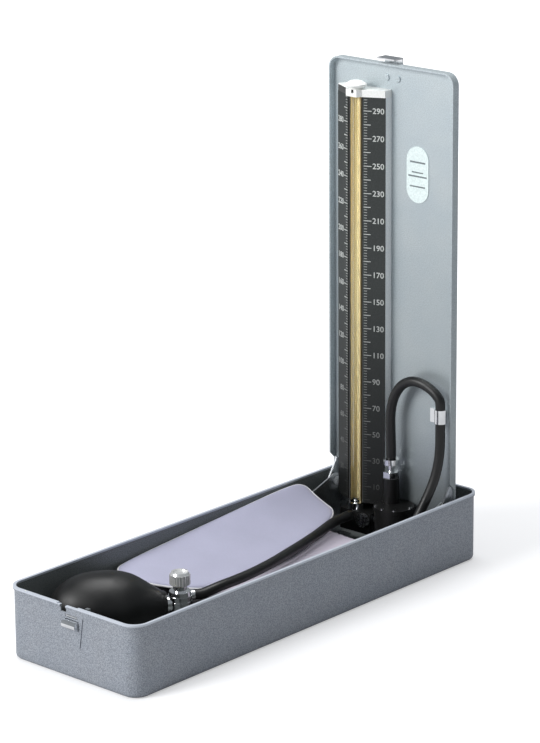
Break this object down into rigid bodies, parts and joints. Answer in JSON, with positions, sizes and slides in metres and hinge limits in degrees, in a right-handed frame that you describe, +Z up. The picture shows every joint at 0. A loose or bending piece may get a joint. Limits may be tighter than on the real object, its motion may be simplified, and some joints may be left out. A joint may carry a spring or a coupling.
{
  "type": "mercury sphygmomanometer",
  "caption": "Desk blood pressure gauge: a mercury manometer in the upright lid of a flat metal case that holds the folded cuff, rubber bulb, release valve and hoses.",
  "frame": {"origin": "centre of the base tray's underside", "axes": "+Z up, +X across the width (to the right when facing the scale), +Y from the latch end to the hinge end"},
  "size_m": [0.1186, 0.3513, 0.3591],
  "materials": {
    "case_paint": "fine hammertone, light blue-grey",
    "plated_steel": "zinc plated",
    "spring_steel": "blued",
    "bright_chrome": "polished",
    "rivet_steel": "bright",
    "brass": "polished",
    "label": "printed sheet, bare",
    "housing_grey": "satin",
    "scale_black": "satin black",
    "scale_white": "satin white",
    "clear_glass": "clear",
    "quicksilver": "liquid",
    "dark_casting": "gloss black enamel",
    "seal_rubber": "matt",
    "vent_leather": "plain",
    "filter_felt": "felt",
    "black_rubber": "satin",
    "cuff_cloth": "woven cotton"
  },
  "bodies": {
    "base": {"base_shell": "case_paint", "hinge_bracket_left": "plated_steel", "hinge_bracket_right": "plated_steel", "bracket_rivets": "rivet_steel", "hinge_pins": "rivet_steel", "hinge_washers": "brass", "latch_guide": "plated_steel", "latch_spring": "spring_steel", "hose_lower": "black_rubber", "cuff_bottom_fold": "cuff_cloth", "cuff_middle_fold": "cuff_cloth", "cuff_flap": "cuff_cloth", "bladder": "seal_rubber", "hose_bulb": "black_rubber", "bulb": "black_rubber", "inlet_valve": "bright_chrome", "valve_body": "bright_chrome"},
    "lid": {"lid_shell": "case_paint", "lid_ear_left": "plated_steel", "lid_ear_right": "plated_steel", "lid_hasp": "bright_chrome", "hasp_rivets": "rivet_steel", "label_plate": "label", "scale_housing": "housing_grey", "housing_rivets": "rivet_steel", "scale_plate_left": "scale_black", "scale_plate_right": "scale_black", "scale_marks_left": "scale_white", "scale_marks_right": "scale_white", "tube_backing": "brass", "glass_tube": "clear_glass", "mercury": "quicksilver", "top_block": "bright_chrome", "top_seal": "seal_rubber", "vent_cap": "bright_chrome", "vent_washer": "vent_leather", "bottom_block": "dark_casting", "tube_gland": "bright_chrome", "pot_link": "plated_steel", "mercury_pot": "dark_casting", "pot_cap": "dark_casting", "pot_screws": "rivet_steel", "pot_neck": "dark_casting", "pot_filter": "filter_felt", "union_nut": "bright_chrome", "hose_nozzle": "bright_chrome", "hose_upper": "black_rubber", "hose_connector": "bright_chrome"},
    "latch": {"latch_button": "bright_chrome", "latch_carrier": "plated_steel"},
    "tap": {"shutoff_tap": "bright_chrome"},
    "needle": {"valve_needle": "brass"},
    "knob": {"valve_knob": "bright_chrome"},
    "ball": {"inlet_ball": "rivet_steel"}
  },
  "joints": [
    {"name": "lid_hinge", "type": "hinge", "parent": "base", "child": "lid", "pos_m": [0, 0.141, 0.0424], "axis": [1, 0, 0], "range_deg": [0, 90], "deforming": ["cuff_bottom_fold", "cuff_middle_fold", "cuff_flap", "bladder", "bulb", "hose_bulb", "hose_lower"]},
    {"name": "latch_push", "type": "slide", "parent": "base", "child": "latch", "axis": [0, 1, 0], "range_m": [0, 0.0016], "stiffness_N_per_m": 900, "springref_m": -0.0012, "deforming": ["latch_spring"]},
    {"name": "tap_turn", "type": "hinge", "parent": "lid", "child": "tap", "pos_m": [-0.011, 0.1343, 0.0245], "axis": [0, 1, 0], "range_deg": [0, 90]},
    {"name": "knob_lift", "type": "slide", "parent": "base", "child": "needle", "axis": [0, 0, 1], "range_m": [-0.0008, 0]},
    {"name": "knob_turn", "type": "hinge", "parent": "needle", "child": "knob", "pos_m": [0.0068, -0.0797, 0.044], "axis": [0, 0, 1], "range_deg": [-577, 0]},
    {"name": "ball_float", "type": "slide", "parent": "base", "child": "ball", "axis": [0.6087, 0.7934, 0], "range_m": [0, 0.0006]}
  ],
  "couplings": [
    {"joint": "knob_turn", "follows": "knob_lift", "rad_per_m": 12566}
  ]
}
